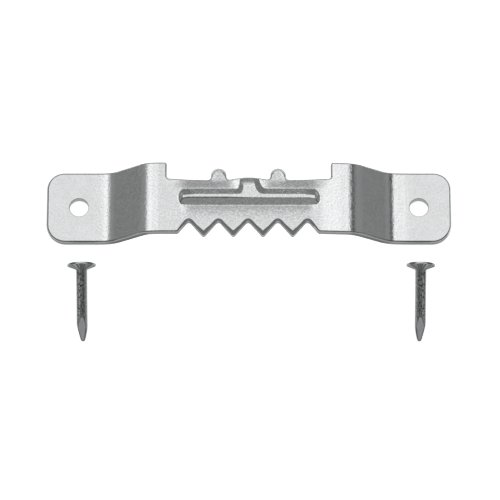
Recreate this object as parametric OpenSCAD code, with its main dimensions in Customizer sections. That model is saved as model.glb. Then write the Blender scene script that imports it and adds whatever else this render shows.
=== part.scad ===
// Sawtooth picture hanger: a strip of sheet steel, stamped and bent into a low bridge with a
// row of teeth along one edge, and the two nails that fasten it to a frame.
// The strip lies on its tabs as it would on the back of a frame. X runs along the strip,
// Y across it with the teeth towards -Y, and Z is the way out from the frame.
// The origin is midway between the two nail holes, on the face that lies on the frame.
// Lengths are in millimetres and angles in degrees.

/* [Strip] */
// Length of the strip from tab end to tab end
strip_length = 45; // [38:0.5:70]
// Length of each flat tab, from its end to the bend
tab_length = 6.25; // [5.9:0.05:9]
// Width of the strip at its tabs and shoulders
strip_width = 8.3; // [7.6:0.1:10]
// Thickness of the sheet
sheet = 0.9; // [0.6:0.05:1.1]
// Radius of the four outer corners of the tabs
tab_corner_r = 2.05; // [0.4:0.05:3]

/* [Bends] */
// Clear height between the frame and the bridge
standoff = 3.25; // [2.6:0.05:4.4]
// Angle of each leg to the frame
leg_angle = 39.5; // [34:0.5:50]
// Radius of the back in the bends at the bridge's ends
upper_bend_r = 1.5; // [0.6:0.05:1.8]
// Radius of the front in the bends at the tabs
lower_bend_r = 2.1; // [0.6:0.05:2.4]

/* [Nail holes] */
// Distance from a tab's end to the centre of its nail hole
hole_inset = 3.6; // [2.6:0.05:4.4]
// Diameter of each nail hole
hole_d = 2.1; // [1.4:0.1:2.8]

/* [Teeth] */
// Distance from notch to notch
notch_pitch = 3.28; // [2.8:0.02:3.4]
// Depth of a notch above the strip's lower edge
notch_depth = 1.28; // [0.9:0.01:1.6]
// Angle between the two flanks of a notch
notch_angle = 80; // [70:1:100]
// Radius at the top of each notch
notch_r = 0.28; // [0.1:0.02:0.36]
// Radius at the point of each tooth
tooth_tip_r = 0.3; // [0.1:0.02:0.36]

/* [Upper edge] */
// Depth of the upper edge below the shoulders
recess_depth = 1.9; // [1:0.05:2.3]
// Length of the flat of each shoulder, from the bend to the recess
shoulder_length = 1.6; // [0.8:0.025:2.4]
// Distance between the two rounded lugs on the upper edge
lug_spacing = 6.58; // [5.6:0.02:8]
// Width of each lug
lug_width = 1.68; // [1.2:0.02:2]
// Height of each lug above the upper edge
lug_height = 1.36; // [1:0.02:1.8]

/* [Pressed rib] */
// Height that the T-shaped rib is pressed out of the bridge
rib_rise = 0.46; // [0.25:0.01:0.7]
// Distance from each shoulder to the end of the rib's bar
bar_inset = 1.4; // [0.3:0.025:3]
// Width of the rib's bar at its foot
bar_foot = 1.9; // [1.4:0.05:2.2]
// Width of the rib's bar along its crest
bar_crest = 0.38; // [0.1:0.02:0.7]
// Length of the slanted end of the rib's bar
bar_end_run = 0.5; // [0.3:0.05:0.9]
// Width of the rib's stem at its foot
stem_foot = 2.24; // [1.6:0.02:2.8]
// Width of the rib's stem along its crest
stem_crest = 1.2; // [0.6:0.02:1.4]
// Length along bar and stem of the slanted web in each corner between them
corner_web = 0.6; // [0.3:0.05:1]

/* [Pockets beside the rib's stem] */
// Drop of the upper edge and its lugs between stem and shoulder
pocket_drop = 0.35; // [0.05:0.05:0.5]
// Width of the level strip between the rib's bar and a pocket
pocket_margin = 0.1; // [0.05:0.01:0.3]
// Slant of a pocket's outer end
pocket_end_angle = 25; // [15:1:45]

/* [Nails] */
// Length of a nail from its point to the top of its head
nail_length = 8.7; // [7:0.1:14]
// Diameter of the shank
shank_d = 1.2; // [0.9:0.05:1.3]
// Diameter of the head
head_d = 3.2; // [2.4:0.02:4.4]
// Thickness of the head's rim
head_rim = 0.22; // [0.12:0.02:0.35]
// Height of the head's domed top above its rim
head_dome = 0.12; // [0.04:0.02:0.3]
// Height of the slanted underside of the head
head_cone = 0.42; // [0.2:0.02:0.8]
// Length of the two long facets of the point
long_facet = 2.8; // [1.8:0.05:3.2]
// Length of the two short facets of the point
short_facet = 1.85; // [1:0.05:2.2]
// Radius of the blunt end of the point
point_r = 0.2; // [0.1:0.01:0.24]

/* [Nails laid out] */
// Distance of each nail's head inwards of the nail hole above it
nail_inset = 0.15; // [0:0.05:2]
// Distance of the nails' middle to the right of the strip's middle
nail_shift = 0.25; // [0:0.05:1]
// Clear distance from the strip's teeth to the nails' heads
nail_gap = 2.85; // [1.5:0.05:6]
// Angle by which each nail's point leans inwards
nail_lean = 1; // [0:0.2:6]

/* [Hidden] */

// Facets of the round stretches of the strip's outlines
arc_steps = 8;
// Facets of the bores and of the turned nails
$fn = 64;
// Overrun of every cut past the surface that it goes through
overrun = 0.5;
// Radius where a shoulder meets the upper edge
recess_r = 0.3;
// Radius of a shoulder's inner corner
shoulder_r = 0.25;
// Radius where a lug meets the upper edge
lug_root_r = 0.4;
// Slant of the blunt cone that rounds a nail's point
point_cone_angle = 35;

// The strip seen from the side
half_width = strip_width / 2;
half_length = strip_length / 2;
bends_r = upper_bend_r + lower_bend_r + sheet;
leg_drop = standoff - bends_r * (1 - cos(leg_angle));
leg_run = leg_drop / tan(leg_angle) + bends_r * sin(leg_angle);
lower_bend_x = half_length - tab_length;
upper_bend_x = lower_bend_x - leg_run;
face_z = standoff + sheet;
hole_x = half_length - hole_inset;

// The strip's upper edge, with its lugs
edge_y = half_width - recess_depth;
recess_x = upper_bend_x - shoulder_length;
lug_r = lug_width / 2;

// The strip's lower edge, with a notch in its middle and as many more as fit below the recess
flank_angle = notch_angle / 2;
notch_centre_y = -half_width + notch_depth - notch_r;
flank_top_x = notch_r * cos(flank_angle);
flank_top_y = notch_centre_y + notch_r * sin(flank_angle);
notch_half_width = flank_top_x + (flank_top_y + half_width) * tan(flank_angle);
notch_count = 2 * floor((recess_x - notch_half_width) / notch_pitch) + 1;
notch_end_x = (notch_count - 1) / 2 * notch_pitch;
tooth_apex_y = flank_top_y - (notch_pitch / 2 - flank_top_x) / tan(flank_angle);
tooth_tip_y = tooth_apex_y + tooth_tip_r / sin(flank_angle);
land_end_x = notch_end_x + notch_half_width;

// The rib on the front
bar_length = 2 * (recess_x - bar_inset);
bar_run = (bar_foot - bar_crest) / 2;
stem_run = (stem_foot - stem_crest) / 2;
bar_slant = atan(rib_rise / bar_run);
bar_end_slant = atan(rib_rise / bar_end_run);
stem_slant = atan(rib_rise / stem_run);
web_width = corner_web * sqrt(2);

// The hollow behind the rib, which leaves the sheet as thick there as elsewhere
bar_hollow_foot = hollow_foot(bar_foot, bar_slant);
bar_hollow_rise = hollow_rise(bar_hollow_foot, bar_slant);
bar_hollow_crest = bar_hollow_foot - 2 * bar_hollow_rise / tan(bar_slant);
bar_hollow_length = hollow_foot(bar_length, bar_end_slant);
stem_hollow_foot = hollow_foot(stem_foot, stem_slant);
stem_hollow_rise = hollow_rise(stem_hollow_foot, stem_slant);
stem_hollow_crest = stem_hollow_foot - 2 * stem_hollow_rise / tan(stem_slant);

// A pocket's floor runs from beside the bar down to the upper edge, and level under the lug
pocket_y = bar_foot / 2 + pocket_margin;
pocket_back_y = bar_hollow_foot / 2 + pocket_margin;
pocket_reach = edge_y + lug_height + overrun;
pocket_inner_run = pocket_drop / tan(stem_slant);
pocket_end_run = pocket_drop / tan(pocket_end_angle);
pocket_end_x = bar_length / 2 - bar_end_run;
pocket_back_x = pocket_end_x - sheet * tan(pocket_end_angle / 2);

// How a nail lies: on the rim of its head, and on its point or the end of its long facet
shank_r = shank_d / 2;
head_r = head_d / 2;
rim_s = nail_length - head_dome - head_rim;
dome_r = (pow(head_r, 2) + pow(head_dome, 2)) / (2 * head_dome);
dome_angle = asin(head_r / dome_r);
lie_slope = min((head_r - point_r) / rim_s, (head_r - shank_r) / (rim_s - long_facet));
lie_angle = atan(lie_slope);
head_z = head_r * cos(lie_angle) + (head_rim + head_dome) * sin(lie_angle);
head_y = -half_width - nail_gap;

// Width of a ridge's hollow at the back of the sheet, and how deep it goes
function hollow_foot(foot, slant) = foot - 2 * sheet * tan(slant / 2);
function hollow_rise(foot, slant) = min(rib_rise, foot / 2 * tan(slant));

// Points along an arc, for the outlines
function arc(x, y, r, from, to) = [for (i = [0:arc_steps])
    let (a = from + (to - from) * i / arc_steps) [x + r * cos(a), y + r * sin(a)]];

// The points in the other order and mirrored to the strip's left half
function mirrored(points) = [for (i = [len(points) - 1:-1:0]) [-points[i].x, points[i].y]];

// Lower edge from the left land to the right one, a notch and then a tooth at a time
function toothed_edge() = [for (i = [0:notch_count - 1])
    let (x = -notch_end_x + i * notch_pitch)
    each concat(arc(x, notch_centre_y, notch_r, 180 - flank_angle, flank_angle),
        i < notch_count - 1
        ? arc(x + notch_pitch / 2, tooth_tip_y, tooth_tip_r, 180 + flank_angle, 360 - flank_angle)
        : [])];

// Right half of the outline, from the land end round the tab to the middle of the upper edge
function right_outline() = concat(
    [[land_end_x, -half_width]],
    arc(half_length - tab_corner_r, -half_width + tab_corner_r, tab_corner_r, -90, 0),
    arc(half_length - tab_corner_r, half_width - tab_corner_r, tab_corner_r, 0, 90),
    arc(recess_x + shoulder_r, half_width - shoulder_r, shoulder_r, 90, 180),
    arc(recess_x - recess_r, edge_y + recess_r, recess_r, 0, -90),
    lug_outline(lug_spacing / 2));

// A lug on the upper edge, from its right foot over the top to its left foot
function lug_outline(x) = concat(
    arc(x + lug_r + lug_root_r, edge_y + lug_root_r, lug_root_r, 270, 180),
    arc(x, edge_y + lug_height - lug_r, lug_r, 0, 180),
    arc(x - lug_r - lug_root_r, edge_y + lug_root_r, lug_root_r, 0, -90));

// Plan of the whole strip as it is blanked from the sheet
module strip_plan() {
    polygon(concat(toothed_edge(), right_outline(), mirrored(right_outline())));
}

// Right half of the bent sheet seen from the side, from the tab's end to the middle of the bridge
function right_profile() = concat(
    [[half_length + overrun, 0], [half_length + overrun, sheet]],
    arc(lower_bend_x, sheet + lower_bend_r, lower_bend_r, -90, -90 - leg_angle),
    arc(upper_bend_x, standoff - upper_bend_r, upper_bend_r + sheet, 90 - leg_angle, 90));

function right_underside() = concat(
    arc(upper_bend_x, standoff - upper_bend_r, upper_bend_r, 90, 90 - leg_angle),
    arc(lower_bend_x, sheet + lower_bend_r, lower_bend_r + sheet, -90 - leg_angle, -90));

// The sheet bent into its bridge, still square-edged and wide enough for the whole plan
module bent_sheet() {
    along_y(concat(
        right_profile(), mirrored(right_profile()),
        mirrored(right_underside()), right_underside()));
}

// The right pocket's space in front of its floor
module pocket_hollow() {
    top = face_z + overrun;
    floor_z = face_z - pocket_drop;
    intersection() {
        along_x([
            [pocket_y, face_z], [edge_y, floor_z], [pocket_reach, floor_z],
            [pocket_reach, top], [pocket_y, top]]);
        along_y([
            [stem_foot / 2, top], [stem_foot / 2, face_z],
            [stem_foot / 2 + pocket_inner_run, floor_z], [pocket_end_x, floor_z],
            [pocket_end_x + pocket_end_run, face_z], [pocket_end_x + pocket_end_run, top]]);
    }
}

// The sheet behind the right pocket, pressed out of the back as far as the floor is pressed in
module pocket_back() {
    back_z = standoff - pocket_drop;
    intersection() {
        along_x([
            [pocket_back_y, standoff], [edge_y, back_z], [pocket_reach, back_z],
            [pocket_reach, face_z], [pocket_back_y, face_z]]);
        along_y([
            [stem_hollow_foot / 2, face_z], [stem_hollow_foot / 2, standoff],
            [stem_hollow_foot / 2 + pocket_inner_run, back_z], [pocket_back_x, back_z],
            [pocket_back_x + pocket_end_run, standoff], [pocket_back_x + pocket_end_run, face_z]]);
    }
}

// Prisms over the strip: an outline seen from the end run along X, one seen from the side along Y
module along_x(points) {
    rotate([90, 0, 90])
        linear_extrude(height = half_length)
            polygon(points);
}

module along_y(points) {
    rotate([90, 0, 0])
        linear_extrude(height = strip_width + 2 * overrun, center = true)
            polygon(points);
}

// The bent sheet with both pockets pressed into its bridge
module pressed_sheet() {
    difference() {
        union() {
            bent_sheet();
            for (side = [0, 1])
                mirror([side, 0, 0])
                    pocket_back();
        }
        for (side = [0, 1])
            mirror([side, 0, 0])
                pocket_hollow();
    }
}

// A straight ridge along X with slanted sides, standing on z = 0 with a skirt below it
module ridge(length, foot, crest, rise, skirt = 0) {
    rotate([90, 0, 90])
        linear_extrude(height = length, center = true)
            polygon(concat(
                [[foot / 2, 0], [crest / 2, rise], [-crest / 2, rise], [-foot / 2, 0]],
                skirt > 0 ? [[-foot / 2, -skirt], [foot / 2, -skirt]] : []));
}

// The T's bar, a ridge along the strip with slanted ends
module bar(length, foot, crest, rise) {
    end_run = overrun / tan(bar_end_slant);
    foot_x = length / 2 + end_run;
    top_x = length / 2 - rise / tan(bar_end_slant) - end_run;
    intersection() {
        ridge(length + overrun, foot, crest, rise);
        along_y([
            [foot_x, -overrun], [top_x, rise + overrun],
            [-top_x, rise + overrun], [-foot_x, -overrun]]);
    }
}

// The T's stem, a ridge from the bar's middle out over the upper edge
module stem(foot, crest, rise) {
    reach = edge_y + overrun;
    translate([0, reach / 2, 0])
        rotate([0, 0, 90])
            ridge(reach, foot, crest, rise);
}

// The webs in the corners of the rib on the front, each a short ridge across the corner
module corner_webs() {
    for (side = [0, 1])
        mirror([side, 0, 0])
            translate([stem_crest / 2, bar_crest / 2, 0])
                rotate([0, 0, -45])
                    ridge(web_width, web_width + bar_run + stem_run, web_width, rib_rise,
                        pocket_drop);
}

module hanger_plate() {
    color("silver")
        difference() {
            intersection() {
                union() {
                    pressed_sheet();
                    translate([0, 0, face_z]) {
                        bar(bar_length, bar_foot, bar_crest, rib_rise);
                        stem(stem_foot, stem_crest, rib_rise);
                        corner_webs();
                    }
                }
                linear_extrude(height = face_z + rib_rise + overrun)
                    strip_plan();
            }
            translate([0, 0, standoff]) {
                bar(bar_hollow_length, bar_hollow_foot, bar_hollow_crest, bar_hollow_rise);
                stem(stem_hollow_foot, stem_hollow_crest, stem_hollow_rise);
            }
            for (side = [-1, 1])
                translate([side * hole_x, 0, -overrun])
                    cylinder(d = hole_d, h = sheet + 2 * overrun);
        }
}

// A nail with its point at the origin and its head towards +Z
module nail() {
    cone_top = point_r + (shank_r - point_r) / tan(point_cone_angle);
    difference() {
        rotate_extrude()
            polygon(concat(
                arc(0, point_r, point_r, -90, 0),
                [[shank_r, cone_top], [shank_r, rim_s - head_cone], [head_r, rim_s]],
                arc(0, nail_length - dome_r, dome_r, 90 - dome_angle, 90)));
        for (turn = [0:90:270])
            rotate([0, 0, turn])
                facet_cut(turn % 180 == 90 ? long_facet : short_facet);
    }
}

// The wedge that one facet of the point takes off the +X side of the shank
module facet_cut(facet) {
    slant = (shank_r - point_r) / facet;
    far = facet + overrun;
    rotate([90, 0, 0])
        linear_extrude(height = shank_d + 2 * overrun, center = true)
            polygon([
                [point_r - slant * overrun, -overrun],
                [shank_r + overrun, -overrun],
                [shank_r + overrun, far],
                [point_r + slant * far, far]]);
}

// A nail lying on the surface, its head towards the strip; side is -1 on the left and 1 on the right
module lying_nail(side) {
    color("dimgray")
        translate([side * (hole_x - nail_inset) + nail_shift, head_y, head_z])
            rotate([0, 0, -side * nail_lean])
                rotate([lie_angle - 90, 0, 0])
                    translate([0, 0, -nail_length])
                        nail();
}

module nail_left() {
    lying_nail(-1);
}

module nail_right() {
    lying_nail(1);
}

hanger_plate();
nail_left();
nail_right();
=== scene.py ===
import math

import bmesh
import bpy
import numpy as np
from mathutils import Matrix, Vector
from mathutils.geometry import delaunay_2d_cdt


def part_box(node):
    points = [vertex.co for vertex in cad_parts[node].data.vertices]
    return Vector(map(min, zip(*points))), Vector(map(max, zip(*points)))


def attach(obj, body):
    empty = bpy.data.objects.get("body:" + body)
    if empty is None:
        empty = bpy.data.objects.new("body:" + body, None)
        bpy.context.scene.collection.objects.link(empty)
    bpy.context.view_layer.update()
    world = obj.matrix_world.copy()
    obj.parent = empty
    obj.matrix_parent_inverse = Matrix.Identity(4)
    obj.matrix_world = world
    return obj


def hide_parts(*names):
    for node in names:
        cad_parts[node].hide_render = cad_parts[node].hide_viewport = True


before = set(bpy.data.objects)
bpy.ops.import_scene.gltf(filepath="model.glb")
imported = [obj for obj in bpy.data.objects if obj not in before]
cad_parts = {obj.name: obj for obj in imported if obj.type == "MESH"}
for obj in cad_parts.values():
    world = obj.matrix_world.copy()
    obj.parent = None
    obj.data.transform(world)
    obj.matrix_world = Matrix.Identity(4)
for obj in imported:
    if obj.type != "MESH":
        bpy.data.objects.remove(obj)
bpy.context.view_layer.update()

mm = 0.001  # sizes below are in millimetres and turn into metres when a mesh is made
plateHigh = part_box("hanger_plate")[1]
print("frame loaded:", ", ".join(sorted(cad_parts)))

# camera: fitted to the tabs, holes and shoulders of the photograph
cameraSet = {
    "target": (0.12, -4.727, 0.0),  # point in the middle of the picture
    "distance": 500.0,
    "elevation": 69.0,  # degrees above the floor
    "lens": 324.2,  # for a sensor 36 mm wide
    "sensor": 36.0,
}


def makeCamera():
    data = bpy.data.cameras.new("camera")
    data.lens, data.sensor_width = cameraSet["lens"], cameraSet["sensor"]
    data.clip_start, data.clip_end = 5 * mm, 5.0
    camera = bpy.data.objects.new("camera", data)
    rise = math.radians(cameraSet["elevation"])
    back = Vector((0, -math.cos(rise), math.sin(rise)))
    camera.location = (Vector(cameraSet["target"]) + back * cameraSet["distance"]) * mm
    camera.rotation_euler = back.to_track_quat("Z", "Y").to_euler()
    bpy.context.scene.collection.objects.link(camera)
    bpy.context.scene.camera = camera


makeCamera()
bpy.context.scene.view_settings.view_transform = "Standard"
print("camera placed")


# node helpers

def put(tree, kind, inputs=None, **settings):
    node = tree.nodes.new(kind)
    for name, value in settings.items():
        setattr(node, name, value)
    for name, value in (inputs or {}).items():
        if isinstance(value, bpy.types.NodeSocket):
            tree.links.new(value, node.inputs[name])
        else:
            node.inputs[name].default_value = value
    return node


def calc(tree, operation, *values, clamp=False):
    node = put(tree, "ShaderNodeMath", dict(enumerate(values)), operation=operation, use_clamp=clamp)
    return node.outputs[0]


def scaled(tree, vector, factor):
    return put(tree, "ShaderNodeVectorMath", {0: vector, "Scale": factor}, operation="SCALE").outputs[0]


def painted(tree, name):  # a value painted on the mesh's points
    return put(tree, "ShaderNodeAttribute", attribute_name=name).outputs["Fac"]


def rampOf(tree, factor, stops):
    node = put(tree, "ShaderNodeValToRGB", {"Fac": factor})
    for _ in range(len(stops) - 2):
        node.color_ramp.elements.new(0.5)
    for element, (place, tone) in zip(node.color_ramp.elements, stops):
        element.position = place
        element.color = (tone, tone, tone, 1) if isinstance(tone, (int, float)) else (*tone, 1)
    return node.outputs["Color"]


# studio: a softbox overhead with hot edges, a darker room round it, a pale floor
studio = {
    "level": 1.4,  # radiance of a tone of 1 in the lists below
    # tone of the softbox by pitch: degrees from straight up, positive towards +Y
    "boxPitch": [(-16, 0.0), (-11, 0.42), (8, 0.6), (18, 0.74), (22, 0.765), (31, 0.37),
                 (38, 0.2), (46, 0.1), (62, 0.03), (80, 0.0)],
    # tone of the room by pitch
    "roomPitch": [(-180, 0.18), (-110, 0.4), (-78, 0.4), (-68, 0.2), (-40, 0.22), (-32, 0.03),
                  (-16, 0.03), (-8, 0.19), (20, 0.235), (60, 0.17), (70, 0.15), (90, 0.15), (180, 0.18)],
    # share of the softbox by side angle: degrees towards +X
    "boxSide": [(-33, 0.0), (-31, 1.0), (-20, 1.0), (-10, 1.03), (-6, 0.74), (-3, 0.58), (3, 0.58),
                (6, 0.76), (9, 1.03), (12, 1.08), (15, 1.1), (20, 0.77), (26, 0.0)],
    # a dark gap in the room past the softbox's right edge, by side angle and by pitch
    "gapSide": [(20, 0.0), (25, 0.95), (33, 0.95), (38, 0.0)],
    "gapPitch": [(-10, 0.0), (5, 1.0), (32, 1.0), (44, 0.0)],
    "floorGlow": 0.87,  # tone of the floor to the camera and in reflections
    "floorTone": 0.7,  # share of the light that it scatters
    "floorSize": 3.0,  # metres
}


def angleStops(stops, halfTurn):
    return [((angle + halfTurn) / (2 * halfTurn), tone) for angle, tone in stops]


def makeStudio():
    world = bpy.data.worlds.new("studio")
    world.use_nodes = True
    bpy.context.scene.world = world
    tree = world.node_tree
    tree.nodes.clear()
    ray = put(tree, "ShaderNodeTexCoord").outputs["Generated"]
    xyz = put(tree, "ShaderNodeSeparateXYZ", {0: ray}).outputs
    pitch = calc(tree, "ARCTAN2", xyz["Y"], xyz["Z"])
    pitchShare = calc(tree, "MULTIPLY_ADD", pitch, 0.5 / math.pi, 0.5)
    side = calc(tree, "ARCSINE", xyz["X"])
    sideShare = calc(tree, "MULTIPLY_ADD", side, 1 / math.pi, 0.5)
    box = calc(tree, "MULTIPLY",
               rampOf(tree, pitchShare, angleStops(studio["boxPitch"], 180)),
               rampOf(tree, sideShare, angleStops(studio["boxSide"], 90)))
    gap = calc(tree, "MULTIPLY",
               rampOf(tree, pitchShare, angleStops(studio["gapPitch"], 180)),
               rampOf(tree, sideShare, angleStops(studio["gapSide"], 90)))
    room = calc(tree, "MULTIPLY", calc(tree, "SUBTRACT", 1.0, gap),
                rampOf(tree, pitchShare, angleStops(studio["roomPitch"], 180)))
    tone = calc(tree, "MULTIPLY", calc(tree, "ADD", box, room), studio["level"])
    light = put(tree, "ShaderNodeBackground", {"Color": (1, 1, 1, 1), "Strength": tone})
    out = put(tree, "ShaderNodeOutputWorld")
    tree.links.new(light.outputs[0], out.inputs["Surface"])


def makeFloor():
    half = studio["floorSize"] / 2
    corners = [(-half, -half, 0), (half, -half, 0), (half, half, 0), (-half, half, 0)]
    mesh = bpy.data.meshes.new("floor")
    mesh.from_pydata(corners, [], [(0, 1, 2, 3)])
    floor = bpy.data.objects.new("floor", mesh)
    bpy.context.scene.collection.objects.link(floor)
    paper = bpy.data.materials.new("whitePaper")
    paper.use_nodes = True
    tree = paper.node_tree
    tree.nodes.clear()
    ray = put(tree, "ShaderNodeLightPath").outputs
    seen = calc(tree, "MAXIMUM", ray["Is Camera Ray"],
                calc(tree, "MAXIMUM", ray["Is Glossy Ray"], ray["Is Transmission Ray"]))
    tone = studio["floorTone"]
    diffuse = put(tree, "ShaderNodeBsdfDiffuse", {"Color": (tone, tone, tone, 1)})
    strength = calc(tree, "MULTIPLY", seen, studio["floorGlow"])
    glow = put(tree, "ShaderNodeEmission", {"Color": (1, 1, 1, 1), "Strength": strength})
    both = put(tree, "ShaderNodeAddShader", {0: diffuse.outputs[0], 1: glow.outputs[0]})
    out = put(tree, "ShaderNodeOutputMaterial")
    tree.links.new(both.outputs[0], out.inputs["Surface"])
    mesh.materials.append(paper)


makeStudio()
makeFloor()
print("studio lit")

# hanger plate: stamped and bent strip of zinc-plated sheet; where left and right differ,
# -1 stands for the left and 1 for the right
plate = {
    "halfLength": plateHigh.x / mm,
    "halfWidth": 4.15,
    "sheet": 0.9,
    "standoff": 3.25,
    "tabCornerR": {-1: 2.2, 1: 1.95},  # at the teeth's side and at the other
    # bends
    "upperBend": 10.7,  # where the bridge starts to bend down
    "lowerBend": {-1: 16.12, 1: 16.34},  # where the tab starts
    "upperBendR": {-1: 2.4, 1: 3.2},  # radius of the front in the upper bend
    "lowerBendR": 2.1,
    "legAngle": 39.5,
    "tailTilt": 4.2,  # degrees that the flats already tilt beside a bend
    "tail": {-1: (9.9, 10.2), 1: (7.2, 8.6)},  # where that begins on the bridge and is reached
    "tabTail": {-1: 0.9, 1: 2.2},  # how far it goes on into the tab
    "tabTailFade": 0.3,  # how far before the tab it starts to fade
    # nail holes
    "holeX": 18.9,
    "holeR": 1.05,
    "holePoints": 72,
    # teeth
    "notchCount": 5,
    "notchPitch": 3.28,
    "notchShift": -0.08,  # the row stands a little to the left
    "notchDepth": 1.28,
    "notchAngle": 80.0,
    "notchR": 0.28,
    "toothTipR": 0.3,
    "landR": 0.35,  # corner of the plain land beside the last notch
    # upper edge
    "recessX": 9.1,  # where the shoulders end
    "edgeY": 2.25,
    "recessR": 0.3,
    "shoulderR": 0.25,
    "lugX": {-1: 3.35, 1: 3.24},
    "lugR": 0.87,
    "lugHeight": {-1: 1.48, 1: 1.42},
    "lugRootR": 0.4,
    "bow": 0.09,  # how far pressing the rib has drawn the upper edge in
    "bowPlace": (1.0, 2.4, 6.4, 9.0),  # where that begins, is reached, starts to fade and ends
    "swell": 0.05,  # how far the edge stands out again at the stem
    "swellReach": 2.0,
    # rolled front edges, as blanking leaves them, and more of it in places
    "rollR": 0.21,
    "tabRoll": 0.03,
    "leftEndRoll": 0.07,
    "leftEndReach": 0.6,  # from the left tab's end
    "toothRoll": 0.06,
    "toothRollEnd": (0.2, 1.6),  # past the last notch, where it starts to fade and ends
    "notchRoll": 0.07,  # added away from the teeth's points
    "lugRoll": {-1: 0.25, 1: 0.15},
    "lugRollFrom": (0.2, 0.8),  # above the upper edge, where it begins and is reached
    "tipRoll": 0.3,  # how much further the roll reaches in from the teeth's points
    "tipRollDepth": 0.5,  # how deep it goes there
    "tipRollFrom": 0.8,  # above the lands' edge
    "recessWear": 0.4,  # how straight the roll is worn along the recess; it is 1 on the teeth
    "lugWear": 0.75,
    "holeRollR": 0.07,
    # the cut wall below the roll, and the burr on the back edges
    "breakIn": 0.045,  # how far the torn part leans in
    "breakDepth": 0.5,  # where it begins, below the front
    "burrR": 0.04,
    # rings of points round an edge
    "rollTurns": (18, 36, 54, 72, 90),  # degrees
    "breakShares": (0.25, 0.6, 1.0),  # of the torn part
    "burrTurns": (30, 60, 90),  # degrees
    # spacing of the points between, along and across, and the |x| and y that each zone covers
    "zones": (
        (0.11, 0.11, 0.0, 8.9, -2.3, 9.0),  # rib, pockets and lugs
        (0.24, 0.24, 0.0, 8.9, -9.0, -2.3),  # teeth
        (0.12, 0.34, 8.9, 17.2, -9.0, 9.0),  # shoulders, bends and legs
        (0.45, 0.45, 17.2, 99.0, -9.0, 9.0),  # tabs
    ),
}

# the T-shaped rib and the two pockets beside its stem; two values in brackets are for the lower
# and the upper side, or say where something begins and ends
rib = {
    "rise": 0.44,
    "barLength": 15.54,
    "barEndRun": 0.5,  # length of its slanted ends
    "barEndTurn": (2.4, 1.6),  # power of the curve round the end's two corners
    "barFoot": 1.9,
    "barCrest": 0.38,
    "barShift": (0.05, 0.06),  # how far the feet have moved towards the crest
    "crestShift": (0.0, 0.03),  # and the crest's edges
    "crestEndShift": (-0.06, 0.13),  # more of this at the bar's ends
    "crestEndReach": (1.7, 0.5),  # from the bar's ends, where that begins and is reached
    "crestLean": 0.008,  # how much wider the crest gets per mm to the right
    "crestLeanReach": 8.0,
    "stemFoot": {-1: 1.98, 1: 2.04},  # twice its reach to the left and to the right
    "stemCrest": 1.2,
    "stemApproach": (0.06, 0.65),  # how much the sheet rises towards the stem, and from how far
    "stemApproachFrom": (0.8, 1.2),  # how far up the strip that begins and is reached
    "hollowBarFoot": 1.397,  # the hollow at the back is narrower
    "hollowStemFoot": {-1: 1.4, 1: 1.56},
    "stemFade": 0.25,  # how much lower the stem's end is, at the sheet's edge
    "stemFadeFrom": (0.9, 0.3),  # where that begins before the edge, and would end past it
    "sideBlend": 0.3,  # how far from the middle the left's values turn into the right's
    "footBlend": 0.06,  # rounding at the bar's foot, as a share of a flank's width
    "endFootBlend": 0.2,  # the same at the bar's ends
    "endChange": 0.3,  # over how much of a flank it changes there
    "stemFootBlend": 0.15,  # and at the stem
    "stemChange": 0.4,
    "crestBlend": (0.32, 0.1),  # rounding at the crest
    "cornerBlend": {-1: 1.5, 1: 2.7},  # webs in the corners between bar and stem
    "groove": 0.17,  # sheet drawn down along the bar's lower foot
    "grooveReach": 1.05,
    "grooveLip": 0.08,  # rounding at the foot
    "grooveFade": 0.3,  # how far below and above the bar's middle line it fades out
    "grooveEnd": (6.4, 7.9),  # and where along the bar
    "pocketDrop": 0.23,
    "pocketFrom": 1.05,
    "pocketTo": 2.35,
    "pocketBlend": (0.15, 0.2),  # rounding where its slope begins and ends
    "pocketAtLug": 0.42,  # how much earlier the slope ends below a lug
    "pocketLugReach": (0.6, 1.5),  # from a lug's middle, where that starts to fade and ends
    "pocketPlace": (1.3, 2.3, 6.2, 9.0),  # where it begins, is reached, starts to fade and ends
    "pocketBetween": {-1: 0.6, 1: 0.5},  # its share of the drop inside the lugs
    "pocketGain": (3.4, 4.9),  # where the rest is gained
    "lugTilt": 0.08,  # how much the lugs still slope
}


def arcOf(x, y, r, start, end, step=0.06):
    count = max(5, math.ceil(abs(math.radians(end - start)) * r / step))
    turns = np.radians(np.linspace(start, end, count + 1))
    return [(x + r * math.cos(a), y + r * math.sin(a)) for a in turns]


def plateOutline():
    p = plate
    flank = p["notchAngle"] / 2
    cosine, sine, tangent = (f(math.radians(flank)) for f in (math.cos, math.sin, math.tan))
    centreY = -p["halfWidth"] + p["notchDepth"] - p["notchR"]
    topX, topY = p["notchR"] * cosine, centreY + p["notchR"] * sine  # where a notch's arc ends
    tipY = topY - (p["notchPitch"] / 2 - topX) / tangent + p["toothTipR"] / sine
    lastNotch = (p["notchCount"] - 1) / 2 * p["notchPitch"]
    shift = p["notchShift"]
    landX = lastNotch + topX + (topY + p["halfWidth"]) * tangent
    teeth = []
    for i in range(p["notchCount"]):
        x = shift - lastNotch + i * p["notchPitch"]
        teeth += arcOf(x, centreY, p["notchR"], 180 - flank, flank)
        if i < p["notchCount"] - 1:
            teeth += arcOf(x + p["notchPitch"] / 2, tipY, p["toothTipR"], 180 + flank, 360 - flank)
    turn = 90 - flank  # the land's corner turns by this much
    land = arcOf(landX + p["landR"] * math.tan(math.radians(turn / 2)), -p["halfWidth"] + p["landR"],
                 p["landR"], 270 - turn, 270)
    lands = [[(shift + side * x, y) for x, y in land] for side in (1, -1)]
    left = [(-x, y) for x, y in reversed(halfOutline(-1))]
    return divided(np.array(teeth + lands[0] + halfOutline(1) + left + lands[1][::-1]))


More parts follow.
